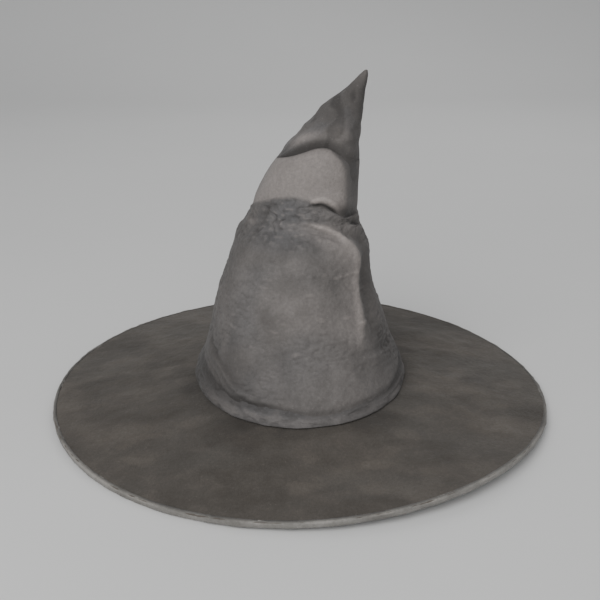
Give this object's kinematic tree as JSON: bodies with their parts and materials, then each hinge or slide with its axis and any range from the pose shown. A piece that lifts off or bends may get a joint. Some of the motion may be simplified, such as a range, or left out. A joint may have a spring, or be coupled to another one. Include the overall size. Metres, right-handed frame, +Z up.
{
  "type": "witch hat",
  "caption": "Soft felt witch hat with a wide wired round brim, an oval head opening and a tall creased crown whose tip leans to one side.",
  "frame": {"origin": "on the surface the hat stands on, under the centre of the brim", "axes": "+Z up, -Y towards the wearer's front, +X to the side that the tip leans to"},
  "size_m": [0.4299, 0.43, 0.2813],
  "materials": {
    "crown_felt": "soft worn wool felt, mottled grey",
    "brim_felt": "soft wool felt, mottled brown grey",
    "edge_binding": "worn, lighter felt tape",
    "stiffener": "rigid foam sheet",
    "interlining": "stiff woven interlining",
    "lining": "plain woven lining",
    "sweatband": "smooth brown leather",
    "reed": "plastic reed",
    "thread": "waxed thread",
    "ribbon": "grosgrain ribbon",
    "label": "blank woven tab",
    "wire": "spring steel wire",
    "joiner": "crimped brass tube",
    "wadding": "polyester wadding"
  },
  "bodies": {
    "base": {"brim_top_felt": "brim_felt", "brim_stiffener": "stiffener", "brim_under_felt": "brim_felt", "brim_edge_binding": "edge_binding", "brim_edge_wire": "wire", "brim_wire_joiner": "joiner", "crown_lower_felt": "crown_felt", "crown_interlining": "interlining", "crown_base_band": "crown_felt", "lining_side": "lining", "lining_top": "lining", "sweatband": "sweatband", "sweatband_reed": "reed", "sweatband_stitches": "thread", "sweatband_bow": "ribbon", "size_label": "label"},
    "middle": {"crown_middle_felt": "crown_felt", "middle_interlining": "interlining"},
    "tip": {"crown_tip_felt": "crown_felt", "tip_wadding": "wadding"}
  },
  "joints": [
    {"name": "neck_fold", "type": "hinge", "parent": "base", "child": "middle", "pos_m": [0.002, 0, 0.1574], "axis": [0, 1, 0], "range_deg": [-28, 18]},
    {"name": "tip_fold", "type": "hinge", "parent": "middle", "child": "tip", "pos_m": [0.01507, 0, 0.21493], "axis": [0, 1, 0], "range_deg": [-30, 16]}
  ]
}
